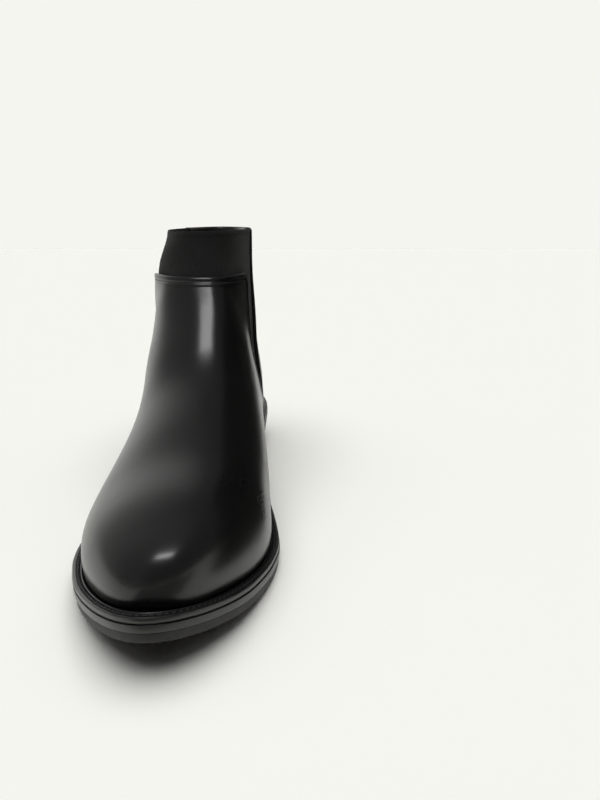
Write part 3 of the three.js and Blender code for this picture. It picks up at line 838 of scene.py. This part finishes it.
# Sole leather edges, inked and ironed with hot wax: a satin black that catches a thin bright line
EDGE = grained("waxed_black_edge", "#0f0f10", "#1a1a1b", 0.35, 0.36, 0.05, IOR=1.5, Coat_Weight=0.2,
               Coat_Roughness=0.25)
# Moulded nitrile rubber: even, slightly chalky black
RUBBER = grained("moulded_black_rubber", "#0f0f0f", "#191919", 0.6, 0.58, 0.06, IOR=1.52)
# Pressed fibre and resin board, buff with darker fibres
STIFFENER = grained("pressed_fibre_board", "#8f7a58", "#c9b48c", 0.8, 0.85, 0.15, IOR=1.45)
# Vegetable tanned shoulder, light tan that darkens in clouds
INSOLE = grained("veg_tan_insole_leather", "#8d6238", "#b98a5c", 0.5, 0.75, 0.1, IOR=1.5)
# Cork granules bound in latex, brown with dark specks
CORK = grained("granulated_cork", "#5f3d20", "#a97a4b", 1.6, 0.95, 0.4, IOR=1.4)
# Closed cell latex foam, cream coloured
FOAM = grained("latex_foam", "#bdb08f", "#ded4b8", 0.7, 0.95, 0.2, IOR=1.4)
# Cold rolled spring steel: bright, with a fine rolled grain
STEEL = grained("rolled_spring_steel", "#8b8e92", "#b4b6b9", 0.4, 0.32, 0.02, Metallic=1.0)


# ---------------------------------------------------------------- pieces of the upper

grid_s, grid_z = side_view(grid_point)
grid_x = grid_point[:, 0] - SHIFT_X
# The upper's lower edge goes down into the welt's channel
ABOVE_SEAT = above_seat(grid_s, grid_z) + 1.6
BELOW_RIM = below_rim(grid_s, grid_z)
UPPER = np.minimum(ABOVE_SEAT, BELOW_RIM)


def side_field(outline):
    return np.minimum(inside_by(outline, grid_s, grid_z), UPPER)


def edge_path(outline, side=None):
    """The path where an outline crosses the upper, and the sign that points into the outline."""
    allowed = UPPER if side is None else np.minimum(UPPER, side)
    path = contour(inside_by(outline, grid_s, grid_z), allowed)[0]
    return path, inward_sign(path, False, lambda s, z: inside_by(outline, s, z))


# Skived and folded leather edge: (distance in from the edge, height above the leather)
FOLDED_EDGE = [(0.1, -1.5), (-0.12, -0.9), (-0.15, -0.2), (0.05, 0.32), (0.5, 0.55), (1.3, 0.62),
               (2.1, 0.55), (2.8, 0.38), (3.2, 0.1), (3.45, -0.12), (3.8, -0.02), (4.3, 0.2),
               (4.9, 0.26), (5.6, 0.18), (6.6, 0.05), (7.6, -0.2)]
STITCH_PITCH = 2.1
vamp_path, vamp_in = edge_path(vamp_outline())
seams = []


def sewn_edge(path, sign):
    """A folded edge with its row of stitches sunk beside the fold."""
    seams.append(stitches(run_of(path, STITCH_PITCH, STITCH_MARGIN, False, sign, 0.0), 1.55, 0.26))
    return rib(path, FOLDED_EDGE, False, sign, 0.6)


vamp = shell(side_field(vamp_outline()), 0.0, LEATHER_THICKNESS)
piece("vamp_leather", [vamp, sewn_edge(vamp_path, vamp_in)], CALF, ["vamp"])
piece("vamp_stitches", seams, THREAD, ["vamp_thread"])

for side_name, sign in (("medial", 1), ("lateral", -1)):
    seams = []
    half = sign * grid_x - GAP / 4
    quarter = shell(np.minimum(side_field(quarter_outline()), half), 0.0, LEATHER_THICKNESS)
    path, inwards = edge_path(quarter_outline(), half)
    parts = [quarter, sewn_edge(path, inwards)]
    piece(f"quarter_{side_name}_leather", parts, CALF, [f"quarter_{side_name}"])
    piece(f"quarter_{side_name}_stitches", seams, THREAD, [f"quarter_thread_{side_name}"])

# Elastic, with its UV map in metres of cloth: round the collar and upwards
COLLAR_ROW = 12.5
around_angles = np.linspace(0, 2 * math.pi, 721)
around_points = skin(np.full(721, COLLAR_ROW), around_angles)
around_length = np.concatenate([[0], np.cumsum(np.linalg.norm(np.diff(around_points, axis=0), axis=1))])


def lay_cloth(obj):
    """UV map that unrolls the collar: distance round it, and height, both in metres."""
    mesh = obj.data
    point = np.empty(len(mesh.vertices) * 3)
    mesh.vertices.foreach_get("co", point)
    point = point.reshape(-1, 3) / MM
    near = around_points[::6]
    gap = ((point[:, None, :2] - near[None, :, :2]) ** 2).sum(-1)
    first = gap.argmin(1)
    step = near[(first + 1) % len(near)][:, :2] - near[first - 1][:, :2]
    step /= np.linalg.norm(step, axis=1, keepdims=True)
    u = around_length[::6][first] + ((point[:, :2] - near[first][:, :2]) * step).sum(1)
    corner = np.empty(len(mesh.loops), int)
    mesh.loops.foreach_get("vertex_index", corner)
    layer = mesh.uv_layers.new(name="cloth")
    layer.data.foreach_set("uv", (np.stack([u, point[:, 2]], 1)[corner] * MM).ravel())


elastic = shell(side_field(elastic_outline()), MIDDLE_DEPTH, MIDDLE_DEPTH + ELASTIC_THICKNESS)
elastic_inside = inside_by(elastic_outline(), grid_s, grid_z)
rim_path = contour(BELOW_RIM, elastic_inside)[0]
rim_in = inward_sign(rim_path, False, below_rim)
# The elastic's top is turned in and sewn: a slightly thicker band with a round lip
HEM = [(3.4, -2.6), (3.0, -1.9), (2.2, -1.78), (1.4, -1.74), (0.7, -1.76), (0.1, -1.9), (-0.3, -2.3),
       (-0.3, -2.7), (0.1, -3.1), (0.7, -3.26), (2.2, -3.26), (3.0, -3.1), (3.4, -2.6)]
collar = piece("elastic_collar_cloth", [elastic, rib(rim_path, HEM, False, rim_in, 0.8)], ELASTIC,
               ["elastic_collar"])
lay_cloth(collar)

vamp_lining = shell(side_field(vamp_outline(-SEAM_ALLOWANCE / 2, 0)), LINING_DEPTH,
                    LINING_DEPTH + LINING_THICKNESS)
piece("vamp_lining_leather", [vamp_lining], LINING, ["vamp_lining"])
quarter_lining = shell(side_field(quarter_outline(-SEAM_ALLOWANCE / 2, 0)), LINING_DEPTH,
                       LINING_DEPTH + LINING_THICKNESS)
piece("quarter_lining_leather", [quarter_lining], LINING, ["quarter_lining"])

TOE_PUFF_LENGTH = 55.0
COUNTER = [(-REACH, -REACH), (60, -REACH), (60, 38), (45, 72), (-REACH, 72)]
puff_field = np.minimum(UPPER, grid_s - (SOLE_LENGTH - TOE_PUFF_LENGTH))
piece("toe_puff_board", [shell(puff_field, MIDDLE_DEPTH, MIDDLE_DEPTH + ELASTIC_THICKNESS)], STIFFENER,
      ["toe_puff"])
piece("heel_counter_board", [shell(side_field(COUNTER), MIDDLE_DEPTH, MIDDLE_DEPTH + ELASTIC_THICKNESS)],
      STIFFENER, ["heel_counter"])

# Back strip over the quarters' seam, sewn down along both sides
strip_half = BACK_STRIP_WIDTH / 2
strip_field = np.minimum(np.minimum(UPPER - 0.6, strip_half - np.abs(grid_x)), 45 - grid_s)
strip_seams = []
for sign in (1, -1):
    # the strip's own edge on one side
    path = contour(strip_half - sign * grid_x, np.minimum(UPPER, 45 - grid_s))[0]
    t_on, angle_on = even(path, 4.0, False)
    on, up = skin(t_on, angle_on), skin_normal(t_on, angle_on)
    left = np.cross(up, directions(on, False))[:, 0].mean()
    strip_seams.append(stitches(
        run_of(path, STITCH_PITCH, 1.8, False, -1 if left * sign > 0 else 1, 1.05), 1.55, 0.26))
piece("back_strip_leather", [shell(strip_field, -1.1, -0.02)], CALF, ["back_strip"])
piece("back_strip_stitches", strip_seams, THREAD)

# Bound top edge of the leather quarters
quarter_inside = inside_by(quarter_outline(), grid_s, grid_z)
top_paths = contour(BELOW_RIM, quarter_inside - 0.5)
BINDING = [(5.0, -0.1), (4.8, 0.12), (3.6, 0.3), (2.0, 0.34), (0.8, 0.25), (-0.1, -0.25), (-0.6, -1.1),
           (-0.75, -2.2), (-0.6, -3.4), (-0.1, -4.3), (0.9, -4.75), (5.0, -4.6)]
top_in = inward_sign(top_paths[0], False, below_rim)
piece("top_binding_leather", [rib(top_paths[0], BINDING, False, top_in, 0.8)], CALF)
piece("top_binding_stitches", [stitches(
    run_of(top_paths[0], STITCH_PITCH, 4.2, False, top_in, 0.2), 1.55, 0.26)], THREAD)


# ---------------------------------------------------------------- inside of the shoe

def footprint(level, depth):
    """Closed plan path of the upper's face, depth inside it, at a level above the sole's underside."""
    path = contour(grid_z - underside(grid_s) - level)[0]
    t, angle = even(path, 0.5, True)
    point = skin(t, angle) - skin_normal(t, angle) * depth
    s, _ = side_view(point)
    plan = np.stack([point[:, 0] - SHIFT_X - toe_swing(s), s], 1)
    twice_area = (plan[:, 0] * np.roll(plan[:, 1], -1) - np.roll(plan[:, 0], -1) * plan[:, 1]).sum()
    if twice_area < 0:
        plan = plan[::-1]
    return softened(spaced(plan, 700), 12)


INSOLE_THICKNESS, INSOCK_THICKNESS = 2.8, 1.2
inside_depth = LINING_DEPTH + LINING_THICKNESS + GAP
insock_level = SEAT_LEVEL + INSOLE_THICKNESS + GAP
insock_path = footprint(insock_level + INSOCK_THICKNESS / 2, inside_depth)
insock_out = outward(insock_path)
insock_profile = [(1.6, insock_level + INSOCK_THICKNESS - 0.1)] + rounded_edge(
    0.0, insock_level + INSOCK_THICKNESS, insock_level, 0.4)
piece("insock_leather", [plate(insock_path, insock_out, insock_profile)], LINING, ["insock"])


# ---------------------------------------------------------------- pieces of the sole

seat_path = footprint(WELT_TOP + 0.4, 0.0)


def margin_to(inner):
    """For each point of the sole's edge, how far inwards the inner path lies."""
    ahead = np.roll(inner, -1, 0) - inner
    margins = np.full(SOLE_POINTS, 40.0)
    for i in range(SOLE_POINTS):
        across = -sole_out[i]
        away = inner - sole_edge[i]
        cross = ahead[:, 0] * across[1] - ahead[:, 1] * across[0]
        cross = np.where(np.abs(cross) < 1e-9, 1e-9, cross)
        far = (ahead[:, 0] * away[:, 1] - ahead[:, 1] * away[:, 0]) / cross
        share = (across[0] * away[:, 1] - across[1] * away[:, 0]) / cross
        met = far[(share >= 0) & (share <= 1) & (far > -8) & (far < 40)]
        if len(met):
            margins[i] = met.min()
    return softened(margins, 60)


margin = margin_to(seat_path)
share = np.clip(margin / 7.5, 0.3, 1.15)
fore = smoothstep(sole_edge[:, 1], HEEL_LENGTH - 10, HEEL_LENGTH + 14)
inner_edge = np.maximum(margin + 2.4, 3.0)
# The welt's top from its outer rim inwards: smooth rim, stitch groove, bead, then a deep channel
# against the upper. (distance in for a 7.5 mm wide welt, height, how much the heel part keeps)
WELT_FACE = [(0.3, -1.6, 1), (0.32, -0.7, 1), (0.5, -0.25, 1), (0.9, -0.04, 1), (1.5, 0.0, 1),
             (2.15, -0.03, 1), (2.4, -0.2, 0.4), (2.6, -0.62, 0.3), (3.2, -0.7, 0.3), (4.1, -0.7, 0.3),
             (4.6, -0.55, 0.3), (4.8, -0.05, 0.5), (5.1, 0.3, 1), (5.5, 0.4, 1), (5.9, 0.25, 1),
             (6.2, -0.3, 1), (6.5, -1.0, 1)]
welt_rows = []
for inset, height, keep in WELT_FACE:
    deep = height * (fore + (1 - fore) * keep)
    place_at = np.where(inset > 1, 1 + (inset - 1) * share, inset)
    welt_rows.append(sole_line(sole_edge, sole_out, place_at, WELT_TOP + deep))
under_upper = np.maximum(inner_edge, 7.2 * share)
welt_rows.append(sole_line(sole_edge, sole_out, under_upper, WELT_TOP - 1.4))
welt_rows.append(sole_line(sole_edge, sole_out, under_upper + 0.3, WELT_LEVEL + 0.2))
welt_rows.append(sole_line(sole_edge, sole_out, 0.6, WELT_LEVEL - 0.1))
welt_rows.append(sole_line(sole_edge, sole_out, 0.38, WELT_LEVEL + 0.1))
welt_rows.append(welt_rows[0])
welt_faces = band_faces(len(welt_rows), SOLE_POINTS)
piece("welt_leather", [(np.vstack(welt_rows), welt_faces)], EDGE, ["welt"])

# Thick lockstitches lie in the groove, each pulled down at both ends
WELT_PITCH = 2.7
groove = 1 + (3.35 - 1) * share
groove_point = sole_line(sole_edge, sole_out, groove, WELT_TOP - 0.42)
far = np.concatenate([[0], np.cumsum(np.linalg.norm(np.diff(groove_point, axis=0), axis=1))])
fore_part = sole_edge[:, 1] > HEEL_LENGTH - 4
first, last = far[:-1][fore_part[:-1]].min(), far[:-1][fore_part[:-1]].max()
at = np.arange(first, last, WELT_PITCH)
stitch_point = np.stack([np.interp(at, far, groove_point[:, k]) for k in range(3)], 1)
stitch_direction = directions(stitch_point, False)
upright = np.tile([0.0, 0.0, 1.0], (len(at), 1))
stitch_side = np.cross(upright, stitch_direction)
stitch_side /= np.linalg.norm(stitch_side, axis=1, keepdims=True)
stitch_normal = np.cross(stitch_direction, stitch_side)
piece("welt_stitches", [stitches((stitch_point, stitch_direction, stitch_normal), 2.45, 0.72)],
      THREAD, ["welt_thread"])
# Wheel marks: a small ridge across the rim between stitches
between = (stitch_point[:-1] + stitch_point[1:]) / 2
marks = stitches((between + [0, 0, 0.05], stitch_side[:-1], stitch_normal[:-1]), 2.9, 0.3)
piece("welt_wheel_marks", [marks], EDGE)

midsole_profile = rounded_edge(0.0, MIDSOLE_LEVEL + MIDSOLE_THICKNESS + 0.1, MIDSOLE_LEVEL - 0.1, 0.25)
piece("midsole_leather", [plate(sole_edge, sole_out, midsole_profile)], EDGE, ["midsole"])
outsole_profile = rounded_edge(0.6, OUTSOLE_THICKNESS + 0.15, 0.0, 0.4)
piece("outsole_rubber", [plate(sole_edge, sole_out, outsole_profile)], RUBBER, ["outsole"])


def heel_path(inset):
    """Closed plan path of a heel layer: the sole's outline round the heel, and a curved breast."""
    moved = sole_edge - sole_out * inset
    toe = int(np.argmax(moved[:, 1]))
    order = np.concatenate([np.arange(toe, SOLE_POINTS), np.arange(toe)])
    moved = moved[order]
    kept = moved[moved[:, 1] < HEEL_LENGTH - inset]
    start, end = kept[-1], kept[0]
    share = np.linspace(0, 1, 40)[1:-1, None]
    breast = start + (end - start) * share
    breast[:, 1] -= 1.6 * np.sin(math.pi * share[:, 0])
    return softened(spaced(np.vstack([kept, breast]), 800), 10)


def heel_layer(inset, bottom, top, radius):
    path = heel_path(inset)
    return plate(path, outward(path), rounded_edge(0.0, top, bottom, radius), base=level_zero)


for k in range(3):
    bottom = TOP_PIECE_THICKNESS + GAP + k * (LIFT_THICKNESS + GAP)
    lift = heel_layer(HEEL_INSET + HEEL_TAPER * (2 - k), bottom - 0.1, bottom + LIFT_THICKNESS + 0.1, 0.25)
    piece(f"heel_lift_{k + 1}_leather", [lift], EDGE, [f"heel_lift_{k + 1}"])
top_piece = heel_layer(HEEL_INSET + HEEL_TAPER * 3, 0.0, TOP_PIECE_THICKNESS, 0.6)
piece("heel_top_piece_rubber", [top_piece], RUBBER, ["heel_top_piece"])

# Pieces inside the sole keep the model's own shape and take their real finish
INNER_FINISHES = {"cork_filler": CORK, "shank": STEEL, "insole_board": INSOLE, "heel_cushion": FOAM}
INNER_FINISHES.update({f"heel_nail_{k}": STEEL for k in range(1, 6)})
for inner_node, finish in INNER_FINISHES.items():
    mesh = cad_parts[inner_node].data
    mesh.materials.clear()
    mesh.materials.append(finish)


# ---------------------------------------------------------------- stage, light, camera

def stage_sheet(name, corners, material):
    """A flat sheet of the studio, not part of the boot."""
    mesh = bpy.data.meshes.new(name)
    mesh.from_pydata(corners, [], [tuple(range(len(corners)))])
    mesh.materials.append(material)
    obj = bpy.data.objects.new(name, mesh)
    bpy.context.scene.collection.objects.link(obj)
    return obj


def lamp(name, kind, place_at, target, energy, **settings):
    """A lamp that faces its target."""
    light = bpy.data.lights.new(name, kind)
    light.energy = energy
    for key, value in settings.items():
        setattr(light, key, value)
    obj = bpy.data.objects.new(name, light)
    obj.location = place_at
    obj.rotation_euler = (Vector(target) - Vector(place_at)).to_track_quat("-Z", "Y").to_euler()
    bpy.context.scene.collection.objects.link(obj)
    return obj


def reflected_box(name, place_at, target, size, radiance):
    """A softbox that is seen only in the polish; size is its width and height."""
    power = radiance * math.pi * size[0] * size[1]
    obj = lamp(name, "AREA", place_at, target, power, shape="RECTANGLE", size=size[0], size_y=size[1])
    obj.visible_diffuse = False
    return obj


# White paper floor; the white room behind it shows the same tone
paper, paper_shader = surface("matte_white_paper", "#fdfdfb", Roughness=1.0)[::2]
paper_shader.inputs["Specular IOR Level"].default_value = 0.0
FLOOR = 6.0
stage_sheet("paper_floor", [(-FLOOR, -FLOOR, 0), (FLOOR, -FLOOR, 0), (FLOOR, FLOOR, 0), (-FLOOR, FLOOR, 0)],
            paper)
world = bpy.data.worlds.new("white_room")
world.use_nodes = True
world.node_tree.nodes["Background"].inputs["Color"].default_value = linear("#f5f5f0")
world.cycles_visibility.glossy = False
world.cycles_visibility.diffuse = False
bpy.context.scene.world = world
bpy.context.scene.view_settings.view_transform = "Standard"

# Broad daylight from above, wide enough for soft shadows
SKY_SPREAD = math.radians(60)
SKY_LIGHTS = (("zenith", (0, 0, 1), 2.25), ("left", (-0.6, 0.1, 1), 0.33), ("right", (0.6, 0.1, 1), 0.28),
              ("back", (0, 0.6, 1), 0.19))
for name, direction, energy in SKY_LIGHTS:
    sky = lamp(f"{name}_light", "SUN", direction, (0, 0, 0), energy, angle=SKY_SPREAD)
    sky.visible_glossy = False
    sky.data.color = linear("#fffffb")[:3]
reflected_box("overhead_box", (-0.03, -0.32, 1.15), (-0.03, -0.32, 0), (0.60, 0.08), 23)


def studio_dome():
    """The room as the polish sees it: bright behind and to the outer side, dim towards the camera."""
    steps, rings, radius = 48, 16, 4.0
    points, faces = [], []
    for ring in range(rings + 1):
        rise = math.pi / 2 * ring / rings
        for k in range(steps):
            turn = 2 * math.pi * k / steps
            ring_radius = radius * math.cos(rise)
            points.append((ring_radius * math.cos(turn), ring_radius * math.sin(turn), radius * math.sin(rise)))
    for ring in range(rings):
        for k in range(steps):
            a, b = ring * steps + k, ring * steps + (k + 1) % steps
            faces.append((a, a + steps, b + steps, b))
    mesh = bpy.data.meshes.new("studio_dome")
    mesh.from_pydata(points, [], faces)
    material = bpy.data.materials.new("lit_room_walls")
    material.use_nodes = True
    tree = material.node_tree
    tree.nodes.clear()
    side = node(tree, "ShaderNodeSeparateXYZ", {"Vector": node(
        tree, "ShaderNodeTexCoord").outputs["Object"]})

    def lit(axis, start, end, amount):
        ramp = node(tree, "ShaderNodeMapRange", {"Value": side.outputs[axis]},
                    interpolation_type="SMOOTHSTEP", From_Min=start, From_Max=end, To_Min=0.0,
                    To_Max=amount)
        return ramp.outputs["Result"]

    outer = lit("X", -0.2, -3.0, 0.12)
    behind = node(tree, "ShaderNodeMath", {0: lit("Y", 1.3, 2.9, 0.7), 1: lit("X", 0.9, -1.2, 1.0)},
                  operation="MULTIPLY")
    total = node(tree, "ShaderNodeMath", {0: outer, 1: behind.outputs[0]}, operation="ADD")
    raised = node(tree, "ShaderNodeMath", {0: total.outputs[0]}, operation="ADD")
    raised.inputs[1].default_value = 0.16
    glow = node(tree, "ShaderNodeEmission", {"Strength": raised.outputs[0]}, Color=linear("#fffffd"))
    out = node(tree, "ShaderNodeOutputMaterial", {"Surface": glow.outputs["Emission"]})
    mesh.materials.append(material)
    dome = bpy.data.objects.new("studio_dome", mesh)
    bpy.context.scene.collection.objects.link(dome)
    dome.visible_camera = dome.visible_diffuse = dome.visible_shadow = False


studio_dome()

# Dark cards, seen only in the polish: one leans where the other boot of the pair would stand and
# keeps the inner side dark, a paler one lies in front of the toe
def shade_card(name, colour, corners):
    card, shader = surface(name, colour, Roughness=0.9)[::2]
    shader.inputs["Specular IOR Level"].default_value = 0.0
    flag = stage_sheet(name, corners, card)
    flag.visible_camera = flag.visible_diffuse = flag.visible_shadow = False


shade_card("side_card", "#4c4c4c", [(0.086, -0.12, 0.001), (0.100, 1.30, 0.001), (0.106, 1.30, 0.22),
                                    (0.106, -0.02, 0.20), (0.098, -0.10, 0.065)])
shade_card("front_card", "#8a8a8a", [(-0.30, -0.75, 0.002), (0.60, -0.75, 0.002), (0.24, -0.16, 0.002),
                                     (-0.04, -0.18, 0.002)])

camera = bpy.data.cameras.new("view")
camera.sensor_width = 36
camera.lens = 24.75
camera.clip_start = 0.01
eye = bpy.data.objects.new("view", camera)
eye.location = (0.0632, -0.3105, 0.1581)
eye.rotation_euler = (math.radians(90 - 16.796), 0, math.radians(0.787))
bpy.context.scene.collection.objects.link(eye)
bpy.context.scene.camera = eye
